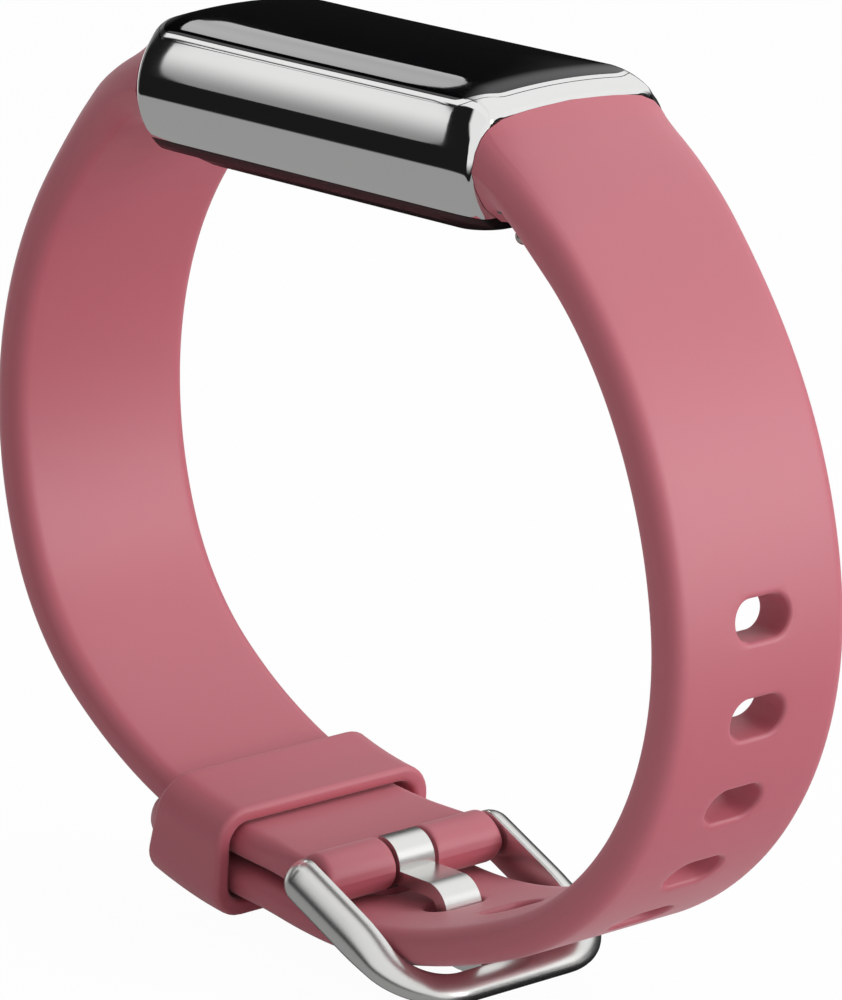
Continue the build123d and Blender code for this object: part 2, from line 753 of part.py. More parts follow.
def main():
    form = tracker_form()
    save("case_body", make_case(form))
    save("bezel_ring", make_bezel(form))
    save("cover_glass", make_glass(form))
    save("display_panel", make_display())
    save("display_flex", make_flex())
    save("inner_tray", make_tray())
    save("battery", make_battery())
    save("main_board", make_board())
    save("board_packages", make_shields())
    save("motor_can", make_motor())
    save("motor_rotor", make_motor_rotor())
    save("back_cover", make_back_cover())
    save("sensor_window", make_window())
    save("sensor_board", make_sensor_board())
    save("sensor_leds", make_leds())
    save("photodiodes", make_photodiodes())
    save("charge_contacts", make_contacts())
    for end, place in (("front", lambda shape: shape), ("rear", rear)):
        save(f"{end}_bar_tube", place(make_bar_tube()))
        save(f"{end}_bar_plunger", place(make_plunger()))
        save(f"{end}_bar_spring", place(make_bar_spring()))
    save("hole_strap", make_hole_strap())
    save("buckle_strap", make_buckle_strap())
    save("strap_keeper", make_keeper())
    save("buckle_frame", make_frame())
    save("buckle_tongue", make_tongue())
    save("buckle_pin", make_pin())


main()
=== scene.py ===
import math

import bmesh
import bpy
import numpy as np
from mathutils import Matrix, Vector
from mathutils.bvhtree import BVHTree


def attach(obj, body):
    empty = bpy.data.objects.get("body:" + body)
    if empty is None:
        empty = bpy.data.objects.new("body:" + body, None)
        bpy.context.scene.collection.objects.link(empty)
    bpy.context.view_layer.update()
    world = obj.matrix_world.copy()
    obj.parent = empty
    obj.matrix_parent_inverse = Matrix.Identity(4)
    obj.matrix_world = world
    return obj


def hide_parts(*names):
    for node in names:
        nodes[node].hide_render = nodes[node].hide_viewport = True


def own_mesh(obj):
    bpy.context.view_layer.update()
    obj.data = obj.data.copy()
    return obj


# Fitness tracker band, buckled closed. Metres in the file, millimetres in the code below.
# Pieces are drawn about the widest line of the case and lifted, so the origin is the
# centre of the sensor window's skin face, as in the CAD model.
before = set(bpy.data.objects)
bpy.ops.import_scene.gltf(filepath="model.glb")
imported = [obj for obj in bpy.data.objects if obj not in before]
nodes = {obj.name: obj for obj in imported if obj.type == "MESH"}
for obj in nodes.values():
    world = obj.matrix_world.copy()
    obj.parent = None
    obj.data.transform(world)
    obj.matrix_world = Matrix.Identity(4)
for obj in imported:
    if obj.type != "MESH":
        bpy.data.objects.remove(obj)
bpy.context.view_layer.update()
mm = 0.001
lift = 5.15


# small helpers

def linearColour(hexText, alpha=1.0):
    # sRGB hex text to linear values
    out = []
    for i in (0, 2, 4):
        level = int(hexText.lstrip("#")[i:i + 2], 16) / 255
        out.append(level / 12.92 if level <= 0.04045 else ((level + 0.055) / 1.055) ** 2.4)
    return (*out, alpha)


def addNode(tree, kind, settings=None, inputs=None, links=None):
    # one node with its settings, its input values and its incoming links
    node = tree.nodes.new(kind)
    for name, value in (settings or {}).items():
        setattr(node, name, value)
    for name, value in (inputs or {}).items():
        node.inputs[name].default_value = value
    for name, source in (links or {}).items():
        tree.links.new(source, node.inputs[name])
    return node


def newMaterial(name, values):
    # Principled material; values are set on the shader's own sockets
    mat = bpy.data.materials.new(name)
    mat.use_nodes = True
    tree = mat.node_tree
    shader = tree.nodes["Principled BSDF"]
    for socket, value in values.items():
        shader.inputs[socket].default_value = value
    return mat, tree, shader


def addGrain(tree, shader, grainMm, height, detail=2.0):
    # fine surface grain as bump, scaled from its real size
    coord = addNode(tree, "ShaderNodeTexCoord")
    noise = addNode(tree, "ShaderNodeTexNoise", inputs={"Scale": 1 / (grainMm * mm), "Detail": detail},
                    links={"Vector": coord.outputs["Object"]})
    bump = addNode(tree, "ShaderNodeBump", inputs={"Strength": 0.6, "Distance": height * mm},
                   links={"Height": noise.outputs["Fac"]})
    tree.links.new(bump.outputs["Normal"], shader.inputs["Normal"])


def paint(obj, mat):
    obj.data.materials.clear()
    obj.data.materials.append(mat)
    for poly in obj.data.polygons:
        poly.material_index = 0


def toObject(bm, name):
    mesh = bpy.data.meshes.new(name)
    bm.to_mesh(mesh)
    bm.free()
    obj = bpy.data.objects.new(name, mesh)
    bpy.context.scene.collection.objects.link(obj)
    return obj


def finishPiece(bm, name, mat, body, replaced, smoothAngle=40):
    # bmesh in millimetres about the case's waist -> a piece in the row frame
    bmesh.ops.translate(bm, verts=bm.verts, vec=(0, 0, lift))
    bmesh.ops.scale(bm, verts=bm.verts, vec=(mm, mm, mm))
    obj = toObject(bm, name)
    obj.data.shade_smooth()
    obj.data.set_sharp_from_angle(angle=math.radians(smoothAngle))
    obj.data.materials.append(mat)
    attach(obj, body)
    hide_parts(*replaced)
    return obj


def smoothStep(x):
    x = min(1.0, max(0.0, x))
    return x * x * (3 - 2 * x)


def alongTable(table, s):
    # smooth value between (distance, value) pairs
    if s <= table[0][0]:
        return table[0][1]
    for (a, va), (b, vb) in zip(table, table[1:]):
        if s <= b:
            return va + (vb - va) * smoothStep((s - a) / (b - a))
    return table[-1][1]


def directionOf(azimuth, elevation):
    # unit vector from the object towards a viewer or lamp at these angles
    turn, rise = math.radians(azimuth), math.radians(elevation)
    return Vector((math.sin(turn) * math.cos(rise), -math.cos(turn) * math.cos(rise), math.sin(rise)))


class ArcLine:
    # mid-line in XZ made of tangent runs (length, turn in degrees), read by distance
    def __init__(self, start, heading, runs):
        self.parts = []
        x, z = start
        angle = math.radians(heading)
        self.length = 0.0
        for length, turn in runs:
            self.parts.append((self.length, x, z, angle, math.radians(turn) / length))
            x, z, angle = self.step(self.parts[-1], length)
            self.length += length

    def step(self, part, d):
        x, z, angle, bend = part[1:]
        if abs(bend) < 1e-9:
            return x + d * math.cos(angle), z + d * math.sin(angle), angle
        after = angle + bend * d
        return (x + (math.sin(after) - math.sin(angle)) / bend,
                z - (math.cos(after) - math.cos(angle)) / bend, after)

    def at(self, s):
        part = self.parts[0]
        for candidate in self.parts:
            if candidate[0] <= s:
                part = candidate
        return self.step(part, s - part[0])


# materials

def roughNoise(tree, shader, grainMm, low, high):
    # roughness that drifts between two values over the surface
    coord = addNode(tree, "ShaderNodeTexCoord")
    noise = addNode(tree, "ShaderNodeTexNoise", inputs={"Scale": 1 / (grainMm * mm), "Detail": 3.0},
                    links={"Vector": coord.outputs["Object"]})
    spread = addNode(tree, "ShaderNodeMapRange",
                     inputs={"From Min": 0.3, "From Max": 0.7, "To Min": low, "To Max": high},
                     links={"Value": noise.outputs["Fac"]})
    tree.links.new(spread.outputs["Result"], shader.inputs["Roughness"])


def plainFinish(name, hexText, roughness, ior=1.5, grainMm=0.2, height=0.003, metallic=0.0, specular=0.5):
    # one even colour with a fine moulded or rolled grain
    values = {"Base Color": linearColour(hexText), "Roughness": roughness, "Metallic": metallic}
    if not metallic:
        values["IOR"] = ior
        values["Specular IOR Level"] = specular
    mat, tree, shader = newMaterial(name, values)
    addGrain(tree, shader, grainMm, height)
    return mat


# soft satin rubber in dusty rose, a little paler where light grazes it
strapMat, strapTree, strapShader = newMaterial("mouldedFluoroelastomer", {
    "Base Color": linearColour("#BE5F6D"), "Roughness": 0.5, "IOR": 1.41, "Specular IOR Level": 0.95,
    "Sheen Weight": 0.4, "Sheen Roughness": 0.4, "Sheen Tint": linearColour("#FFE8EC")})
addGrain(strapTree, strapShader, 0.16, 0.0025)
# mirror-bright steel, only the softboxes and dark room break its face
polishedMat, polishedTree, polishedShader = newMaterial("polishedStainlessSteel", {
    "Base Color": linearColour("#E6E6E5"), "Metallic": 1.0})
roughNoise(polishedTree, polishedShader, 6, 0.035, 0.055)
# blasted steel with a soft broad gleam and no drawn lines
satinMat, satinTree, satinShader = newMaterial("beadBlastedStainlessSteel", {
    "Base Color": linearColour("#DADAD8"), "Metallic": 1.0, "Roughness": 0.27})
addGrain(satinTree, satinShader, 0.12, 0.0035)
# black glass, deep and glossy
glassMat, glassTree, glassShader = newMaterial("blackBackedGlass", {
    "Base Color": linearColour("#050608"), "IOR": 1.52})
roughNoise(glassTree, glassShader, 9, 0.02, 0.04)
# near-black moulded shell with a faint soft gleam
shellMat = plainFinish("mouldedBlackPolycarbonate", "#0C0D0E", 0.4, specular=0.2)
# dull black carrier, a little coarser to look at
trayMat = plainFinish("matteBlackNylon", "#17181A", 0.55, ior=1.53, grainMm=0.3, height=0.006)
# black window, glossy like a lens
windowMat = plainFinish("tintedAcrylicWindow", "#0A0B0D", 0.08, ior=1.49, height=0.0005)
# deep green under a half-gloss lacquer
boardMat = plainFinish("greenSolderMask", "#0F4A2B", 0.35, ior=1.55)
# flat charcoal chip bodies
chipMat = plainFinish("mouldedEpoxyPackage", "#1C1D20", 0.6, ior=1.55, grainMm=0.1)
# blue-black sheet, smooth and glossy
panelMat = plainFinish("bondedDisplayLaminate", "#101217", 0.12, ior=1.52, height=0.0005)
# amber film with a soft shine
flexMat = plainFinish("amberPolyimideFilm", "#9A5A1E", 0.35, ior=1.7, height=0.001)
# pale silvery foil, slightly uneven
foilMat = plainFinish("aluminiumPouchFoil", "#C9CACC", 0.38, grainMm=0.8, height=0.02, metallic=1.0)
# warm grey plated metal with a clear gleam
canMat = plainFinish("nickelPlatedSteel", "#BDBBB6", 0.25, metallic=1.0)
# grey drawn wire with a hard gleam
springMat = plainFinish("drawnSpringSteel", "#A9A8A5", 0.22, metallic=1.0)
# warm yellow gold, bright and smooth
goldMat = plainFinish("goldPlatedContact", "#D9AE5F", 0.2, metallic=1.0)
# pale green resin, wet-looking
lensMat = plainFinish("clearCastGreenResin", "#6FBF7A", 0.1, height=0.0005)
# dark blue-grey slips, nearly mirror smooth
siliconMat = plainFinish("bareSilicon", "#2A2C3A", 0.15, ior=1.55, height=0.0005)
finishes = [(strapMat, ["hole_strap", "buckle_strap", "strap_keeper"]),
            (polishedMat, ["case_body", "bezel_ring"]),
            (satinMat, ["buckle_frame", "buckle_tongue", "buckle_pin"]),
            (canMat, ["motor_can", "motor_rotor", "front_bar_tube", "rear_bar_tube", "front_bar_plunger",
                      "rear_bar_plunger"]),
            (springMat, ["front_bar_spring", "rear_bar_spring"]),
            (boardMat, ["main_board", "sensor_board"]),
            (glassMat, ["cover_glass"]), (shellMat, ["back_cover"]), (trayMat, ["inner_tray"]),
            (windowMat, ["sensor_window"]), (chipMat, ["board_packages"]), (panelMat, ["display_panel"]),
            (flexMat, ["display_flex"]), (foilMat, ["battery"]), (lensMat, ["sensor_leds"]),
            (siliconMat, ["photodiodes"]), (goldMat, ["charge_contacts"])]
print("materials made")


# mesh helpers

def everything(bm):
    return list(bm.verts) + list(bm.edges) + list(bm.faces)


def newVerts(result):
    return [e for e in result["geom"] if isinstance(e, bmesh.types.BMVert)]


def bridgeRings(bm, rings):
    # faces between each ring of verts and the next
    for a, b in zip(rings, rings[1:]):
        for i in range(len(a)):
            j = (i + 1) % len(a)
            bm.faces.new((a[i], a[j], b[j], b[i]))


def sharpEdges(bm, degrees, test=None):
    bm.normal_update()
    return [e for e in bm.edges if len(e.link_faces) == 2
            and e.calc_face_angle(0) > math.radians(degrees) and (test is None or test(e))]


def roundEdges(bm, edges, radius, segments):
    bmesh.ops.bevel(bm, geom=edges, offset=radius, offset_type="OFFSET", segments=segments,
                    profile=0.5, affect="EDGES", material=-1)


def sliceAlong(bm, axis, places):
    # extra loops at these places, so that the piece can bend
    normal = [0, 0, 0]
    normal[axis] = 1
    for place in places:
        point = [0, 0, 0]
        point[axis] = place
        bmesh.ops.bisect_plane(bm, geom=everything(bm), plane_co=point, plane_no=normal, dist=1e-5)


def outlineBlock(points, plane, low, high):
    # closed outline in a plane ("XY" or "XZ"), extruded along the third axis
    bm = bmesh.new()
    if plane == "XY":
        verts = [bm.verts.new((x, y, low)) for x, y in points]
        travel = (0, 0, high - low)
    else:
        verts = [bm.verts.new((x, low, z)) for x, z in points]
        travel = (0, high - low, 0)
    face = bm.faces.new(verts)
    up = bmesh.ops.extrude_face_region(bm, geom=[face])
    bmesh.ops.translate(bm, verts=newVerts(up), vec=travel)
    bmesh.ops.recalc_face_normals(bm, faces=bm.faces)
    return bm


def roundedRectangle(length, width, radius, steps=8):
    points = []
    for cx, cy, start in ((1, 1, 0), (-1, 1, 90), (-1, -1, 180), (1, -1, 270)):
        for k in range(steps + 1):
            a = math.radians(start + 90 * k / steps)
            points.append((cx * (length / 2 - radius) + radius * math.cos(a),
                           cy * (width / 2 - radius) + radius * math.sin(a)))
    return points


def stadium(width, length, steps=10):
    # outline of a slot: long way along Y, round ends
    return roundedRectangle(width, length, width / 2 - 0.001, steps)


def cutAway(base, cutter, operation="DIFFERENCE"):
    # base minus cutter (both bmesh) as a new bmesh
    baseObj = toObject(base, "baseTemp")
    cutterObj = toObject(cutter, "cutterTemp")
    mod = baseObj.modifiers.new("cut", "BOOLEAN")
    mod.operation = operation
    mod.solver = "EXACT"
    mod.object = cutterObj
    graph = bpy.context.evaluated_depsgraph_get()
    graph.update()
    result = bmesh.new()
    result.from_mesh(baseObj.evaluated_get(graph).to_mesh())
    for obj in (baseObj, cutterObj):
        mesh = obj.data
        bpy.data.objects.remove(obj, do_unlink=True)
        bpy.data.meshes.remove(mesh)
    return result


def joined(parts):
    # several bmesh in one
    whole = bmesh.new()
    for bm in parts:
        mesh = bpy.data.meshes.new("joinTemp")
        bm.to_mesh(mesh)
        bm.free()
        whole.from_mesh(mesh)
        bpy.data.meshes.remove(mesh)
    return whole


def readCurve(table, x):
    return float(np.interp(x, [a for a, b in table], [b for a, b in table]))


def partMesh(name):
    # the CAD piece's own mesh in millimetres about the waist, merged
    bm = bmesh.new()
    bm.from_mesh(nodes[name].data)
    bmesh.ops.remove_doubles(bm, verts=bm.verts, dist=1e-7)
    bmesh.ops.transform(bm, matrix=nodes[name].matrix_world, verts=bm.verts)
    bmesh.ops.scale(bm, verts=bm.verts, vec=(1000, 1000, 1000))
    bmesh.ops.translate(bm, verts=bm.verts, vec=(0, 0, -lift))
    return bm


# straps: a swell is (extra thickness, reach) at the root, on the side of the holes (1) and of the
# buckle (-1); the flare is (extra width, reach, power) there
strap = {"width": 15.6, "slabThickness": 3.0, "edgeRadius": 1.28, "rimRadius": 0.32, "slotMargin": 2,
         "station": 0.6, "column": 1.1, "rootBlend": 8.5, "rootTurn": 5.5, "flare": (1.75, 7.2, 1.6),
         "swell": {1: [(3.2, 3.8), (1.88, 1.0)], -1: [(3.5, 4.2), (1.58, 1.2)]}}

# the case's end, where the straps take over: share of half width -> height
caseEnd = {"middle": -0.28, "height": 3.94, "waistBand": 0.05, "waistShare": 0.05,
           "topFill": {-1: 1.2, 1: 0.98}, "bottomFill": 0.93,
           "top": [(0, 3.66), (0.36, 3.52), (0.62, 3.28), (0.74, 3.05), (0.83, 2.66), (0.91, 2.0),
                   (0.965, 1.15), (1.0, -0.1)],
           "bottom": [(0, -4.22), (0.62, -4.22), (0.76, -3.75), (0.88, -2.6), (0.96, -1.35), (1.0, -0.1)]}

holeStrap = {"start": (17.66, -0.28), "heading": -17.9, "firstSlot": 33.7, "pitch": 6.44, "count": 10,
             "slot": (2.75, 4.7), "tailCorner": 3.7,
             "runs": [(3.1, -18.6), (30.054, -47.7), (22.266, -52.5), (8.971, -20.0), (10.2, -9.265),
                      (10.147, -17.035), (3.996, -4.887), (3.996, 4.737), (9.738, -15.85), (3.2, 0)],
             "thickness": [(0, 2.82), (38, 3.05), (62, 2.85), (84, 2.5), (106, 2.4)]}


def flatStrap(length, outerEnd, slots=None, notch=None, tailCorner=0, stations=None):
    # flat slab along +X with softened edges, slots or notch, cut into stations for bending
    w = strap["width"]
    t = strap["slabThickness"]
    bm = bmesh.new()
    bm.faces.new([bm.verts.new((x, y, -t / 2)) for x, y in
                  [(0, -w / 2), (length, -w / 2), (length, w / 2), (0, w / 2)]])
    if tailCorner:
        tail = [v for v in bm.verts if v.co.x > 1]
        bmesh.ops.bevel(bm, geom=tail, offset=tailCorner, offset_type="OFFSET", segments=14, profile=0.5,
                        affect="VERTICES", material=-1)
    up = bmesh.ops.extrude_face_region(bm, geom=list(bm.faces))
    bmesh.ops.translate(bm, verts=newVerts(up), vec=(0, 0, t))
    bmesh.ops.recalc_face_normals(bm, faces=bm.faces)
    rim = sharpEdges(bm, 50, lambda e: not all(v.co.x < 0.01 for v in e.verts)
                     and (outerEnd or not all(v.co.x > length - 0.01 for v in e.verts)))
    roundEdges(bm, rim, strap["edgeRadius"], 7)
    cutters = []
    for place, size in slots or []:
        cutter = outlineBlock(stadium(*size), "XY", -4, 4)
        bmesh.ops.translate(cutter, verts=cutter.verts, vec=(place, 0, 0))
        cutters.append(cutter)
    if notch:
        depth, halfWidth, notchCorner = notch
        cutter = outlineBlock(roundedRectangle(8, 2 * halfWidth, notchCorner, 5), "XY", -4, 4)
        bmesh.ops.translate(cutter, verts=cutter.verts, vec=(length - depth + 4, 0, 0))
        cutters.append(cutter)
    if cutters:
        bm = cutAway(bm, joined(cutters))
        bmesh.ops.remove_doubles(bm, verts=bm.verts, dist=1e-4)
        half = w / 2 - strap["slotMargin"]
        inner = sharpEdges(bm, 50, lambda e: all(abs(v.co.y) < half and v.co.x > 1 for v in e.verts)
                           and abs(e.verts[0].co.z - e.verts[1].co.z) < 0.5)
        roundEdges(bm, inner, strap["rimRadius"], 4)
    station = strap["station"]
    sliceAlong(bm, 0, stations or [i * station for i in range(1, int(length / station) + 1)])
    count = int(w / 2 / strap["column"])
    sliceAlong(bm, 1, [i * strap["column"] for i in range(-count, count + 1)])
    return bm


def tighten(d, half, edge, k):
    # distance in from an edge when its radius shrinks to k and the rest stretches to fill
    return d * k if d < edge else edge * k + (d - edge) * (half - edge * k) / (half - edge)


def bendStrap(bm, line, side, thickness, corner=None):
    # the slab's length follows the mid-line; its root grows into the case's end
    halfW = strap["width"] / 2
    halfT = strap["slabThickness"] / 2
    edge = strap["edgeRadius"]
    flareSize, flareReach, flarePower = strap["flare"]
    for v in bm.verts:
        s, y, h = v.co
        x, z, angle = line.at(s)
        swell = sum(size * math.exp(-s / reach) for size, reach in strap["swell"][side])
        t = (alongTable(thickness, s) + swell) / 2
        w = (strap["width"] + flareSize * math.exp(-(s / flareReach) ** flarePower)) / 2
        inset = halfW - abs(y)
        drop = halfT - abs(h)
        if corner:
            # a smaller edge radius towards the barrel
            k = alongTable(corner, s)
            inset = tighten(inset, halfW, edge, k)
            drop = tighten(drop, halfT, edge, k)
        across = math.copysign(1 - inset / halfW, y)
        share = math.copysign(1 - drop / halfT, h)
        up = angle + side * math.pi / 2
        turn = 1 - smoothStep(s / strap["rootTurn"])
        up += math.remainder(math.pi / 2 - up, 2 * math.pi) * turn
        blend = 1 - smoothStep(s / strap["rootBlend"])
        if blend > 0:
            curve = caseEnd["top"] if h > 0 else caseEnd["bottom"]
            fill = caseEnd["topFill"][side] if h > 0 else caseEnd["bottomFill"]
            endShare = caseEnd["waistShare"]
            if abs(h) >= caseEnd["waistBand"]:
                endShare = (readCurve(curve, abs(across)) - caseEnd["middle"]) / caseEnd["height"] * fill
            share += (endShare - share) * blend
        v.co = (x + math.cos(up) * share * t, across * w, z + math.sin(up) * share * t)


def makeHoleStrap():
    line = ArcLine(holeStrap["start"], holeStrap["heading"], holeStrap["runs"])
    slots = [(holeStrap["firstSlot"] + i * holeStrap["pitch"], holeStrap["slot"])
             for i in range(holeStrap["count"])]
    bm = flatStrap(line.length, True, slots=slots, tailCorner=holeStrap["tailCorner"])
    bendStrap(bm, line, 1, holeStrap["thickness"])
    finishPiece(bm, "strapWithHoles", strapMat, "band", ["hole_strap"])


makeHoleStrap()
print("hole strap made")

# the short strap ends in a barrel round the buckle's pin; near it the edges get sharper
buckleStrap = {"start": (-17.66, -0.28), "heading": -178.8, "barrel": 1.9, "barrelRun": 6,
               "runs": [(5.16, 39.6), (9.599, 12.5), (29.1, 57.1), (10.823, 31.8), (11.648, 18.8),
                        (8.908, 15.85), (7.84, 0)], "finestStep": 0.05,
               "notch": (3.3, 1.78, 0.7), "barrelEdge": (1.0, 0.45), "neck": (0.6, 1.6, 0.8),
               "barrelClear": 1.5, "turnStep": 6,
               "thickness": [(0, 2.82), (45, 3.05), (62, 2.75), (76, 2.5), (90, 2.4)]}


def bucklePlaces(length):
    # plain stations, then finer ones round the barrel
    barrel, step = buckleStrap["barrel"], buckleStrap["turnStep"]
    plainLength = length - barrel - buckleStrap["barrelClear"]
    places = [i * strap["station"] for i in range(1, int(plainLength / strap["station"]))]
    places += [length - barrel * (1 + math.cos(math.radians(a))) for a in range(step, 180, step)]
    return sorted(places)


def barrelThickness(s, pinPlace):
    # full thickness of the strap that runs into the barrel, slightly thicker just before it
    r = buckleStrap["barrel"]
    extra, ahead, reach = buckleStrap["neck"]
    d = s - pinPlace
    plain = alongTable(buckleStrap["thickness"], s)
    barrel = 2 * math.sqrt(max(r * r - d * d, 0)) if abs(d) < r else 0
    return barrel if d > 0 else math.hypot(max(barrel, plain), extra * math.exp(-((d + ahead) / reach) ** 2))


def makeBuckleStrap():
    line = ArcLine(buckleStrap["start"], buckleStrap["heading"], buckleStrap["runs"])
    pinPlace = line.length
    length = pinPlace + buckleStrap["barrel"]
    run = buckleStrap["barrelRun"]
    edgeStart, edgeShare = buckleStrap["barrelEdge"]
    bm = flatStrap(length, False, notch=buckleStrap["notch"], stations=bucklePlaces(length))
    for v in bm.verts:
        v.co.y = -v.co.y
        v.co.z = -v.co.z
    thickness = [p for p in buckleStrap["thickness"] if p[0] < pinPlace - run - 0.2]
    thickness += [(s, barrelThickness(s, pinPlace))
                  for s in np.arange(pinPlace - run, length + 0.001, buckleStrap["finestStep"])]
    bendStrap(bm, line, -1, thickness,
              corner=[(0, 1), (pinPlace - run, 1), (pinPlace - edgeStart, edgeShare), (length, edgeShare)])
    bmesh.ops.remove_doubles(bm, verts=bm.verts, dist=0.004)
    bmesh.ops.recalc_face_normals(bm, faces=bm.faces)
    finishPiece(bm, "strapWithBuckle", strapMat, "band", ["buckle_strap"])


makeBuckleStrap()
print("buckle strap made")


# keeper loop, bent about the centre of the lap

keeper = {"length": 7.6, "inner": (16.9, 5.94, 1.5), "outer": (19.4, 8.14, 2.5), "edge": 0.42,
          "shift": 0.18, "lapCentre": (-5.857, -20.428), "lapRadius": 33.7, "middle": 10.75, "stations": 8}


def makeKeeper():
    bm = outlineBlock(roundedRectangle(*keeper["outer"]), "XY", 0, keeper["length"])
    hole = outlineBlock(roundedRectangle(*keeper["inner"], 6), "XY", -1, keeper["length"] + 1)
    bm = cutAway(bm, hole)
    rims = sharpEdges(bm, 50)
    roundEdges(bm, rims, keeper["edge"], 5)
    sliceAlong(bm, 2, [keeper["length"] * i / keeper["stations"] for i in range(1, keeper["stations"])])
    cx, cz = keeper["lapCentre"]
    for v in bm.verts:
        y, h, d = v.co
        a = math.radians(keeper["middle"]) - (d - keeper["length"] / 2) / keeper["lapRadius"]
        r = keeper["lapRadius"] - h
        v.co = (cx - r * math.sin(a), y + keeper["shift"], cz - r * math.cos(a))
    bmesh.ops.recalc_face_normals(bm, faces=bm.faces)
    finishPiece(bm, "keeperLoop", strapMat, "strap_keeper", ["strap_keeper"], 35)


makeKeeper()
print("keeper made")


# buckle frame, bent from one wire
buckle = {"slope": 23.8, "reach": 12.4, "innerHalf": 8.1, "corner": 3.5, "wire": 1.9, "edge": 0.16,
          "armHalf": 1.7, "barHalf": 1.0, "thinFrom": 6.0, "pin": (0.2013, -53.0097)}


def wireHalfHeight(x):
    share = smoothStep((x - buckle["thinFrom"]) / (buckle["reach"] - buckle["thinFrom"]))
    return buckle["armHalf"] + (buckle["barHalf"] - buckle["armHalf"]) * share


def wireSection(half):
    # (outward, up) points of the wire: half ellipse outside, flat inside with small rounded edges
    edge = buckle["edge"]
    lower = []
    for k in range(4):
        a = math.radians(180 + 90 * k / 3)
        lower.append((edge + edge * math.cos(a), -half + edge + edge * math.sin(a)))
    for k in range(1, 10):
        a = math.radians(-90 + 90 * k / 9)
        lower.append((edge + (buckle["wire"] - edge) * math.cos(a), half * math.sin(a)))
    return [(0, 0)] + lower + [(u, -h) for u, h in reversed(lower[:-1])]


def wireStations():
    # (x, y, facing in degrees) along the inner line, from one arm's end to the other
    half, corner, reach = buckle["innerHalf"], buckle["corner"], buckle["reach"]
    bend = reach - corner
    stations = [(bend * k / 12, -half, -90) for k in range(12)]
    for k in range(17):
        facing = -90 + 90 * k / 16
        a = math.radians(facing)
        stations.append((bend + corner * math.cos(a), corner - half + corner * math.sin(a), facing))
    stations += [(reach, (corner - half) * (1 - k / 4), 0) for k in range(1, 4)] + [(reach, 0, 0)]
    return stations + [(x, -y, -facing) for x, y, facing in reversed(stations[:-1])]


def makeFrame():
    bm = bmesh.new()
    rings = []
    for x, y, facing in wireStations():
        a = math.radians(facing)
        rings.append([bm.verts.new((x + u * math.cos(a), y + u * math.sin(a), h))
                      for u, h in wireSection(wireHalfHeight(x))])
    bridgeRings(bm, rings)
    # each arm ends in half a turn of its own section about the pin
    for ring in (rings[0], rings[-1]):
        upper = [v for v in ring if v.co.z > -1e-6]
        order = sorted(upper, key=lambda v: ring.index(v) if ring.index(v) else len(ring))
        edges = [bm.edges.get(pair) or bm.edges.new(pair) for pair in zip(order, order[1:])]
        bmesh.ops.spin(bm, geom=order + edges, cent=(0, 0, 0), axis=(0, 1, 0), angle=math.radians(-180),
                       steps=14, use_duplicate=False)
    bmesh.ops.remove_doubles(bm, verts=bm.verts, dist=1e-4)
    bmesh.ops.recalc_face_normals(bm, faces=bm.faces)
    bmesh.ops.rotate(bm, verts=bm.verts, matrix=Matrix.Rotation(math.radians(buckle["slope"]), 3, "Y"))
    bmesh.ops.translate(bm, verts=bm.verts, vec=(buckle["pin"][0], 0, buckle["pin"][1]))
    finishPiece(bm, "buckleFrame", satinMat, "buckle_frame", ["buckle_frame"], 50)


makeFrame()
print("frame made")


# tracker: in the pairs from bottomHalf to crownDrop the first value is for the middle and the second
# for the strap joint; the glass is (left end, right end, width, left corner, right corner)
tracker = {"length": 35.2, "straight": 14.5, "endRound": 0.4, "columns": 16, "cornerArc": 8, "sideArc": 14,
           "bottomColumns": 8, "bottomHalf": (6.9, 6.0), "bottom": -4.3, "waist": (8.775, 8.76),
           "rimHalf": (7.5, 7.4), "rim": (3.57, 2.75), "crownHalf": (5.4, 6.1), "crown": (5.16, 3.68),
           "crownDrop": (0.3, 0.32), "cornerBulge": (0.25, 0.16), "farLift": (0.2, 0.1),
           "endCurve": {"share": (0.35, 0.65), "power": (2.6, 2.2)}, "roundHeight": 4, "liftHeight": 5,
           "glass": (-17.0, 16.4, 14.3, 1.1, 2.4), "glassBottom": 3.05, "bezel": 0.34, "seam": 0.05,
           "glassSeam": 0.03, "shellTop": -3.4, "shellSeam": 0.06, "room": (28, 13.4, 2.4),
           "around": (60, 40, 1)}
lug = {"across": 4.6, "halfWidth": 0.55, "centre": (18.4, -2.4), "radius": 0.9, "root": (16.6, -1.5, -3.3)}


def arcThrough(p, q, r, steps):
    # points on the arc from p through q to r, without r
    (ax, ay), (bx, by), (cx, cy) = p, q, r
    d = 2 * (ax * (by - cy) + bx * (cy - ay) + cx * (ay - by))
    aa, bb, cc = ax * ax + ay * ay, bx * bx + by * by, cx * cx + cy * cy
    ux = (aa * (by - cy) + bb * (cy - ay) + cc * (ay - by)) / d
    uy = (aa * (cx - bx) + bb * (ax - cx) + cc * (bx - ax)) / d
    radius = math.hypot(ax - ux, ay - uy)
    a0 = math.atan2(ay - uy, ax - ux)
    a1 = math.atan2(cy - uy, cx - ux)
    turn = (a1 - a0 + math.pi) % (2 * math.pi) - math.pi
    return [(ux + radius * math.cos(a0 + turn * k / steps), uy + radius * math.sin(a0 + turn * k / steps))
            for k in range(steps)]


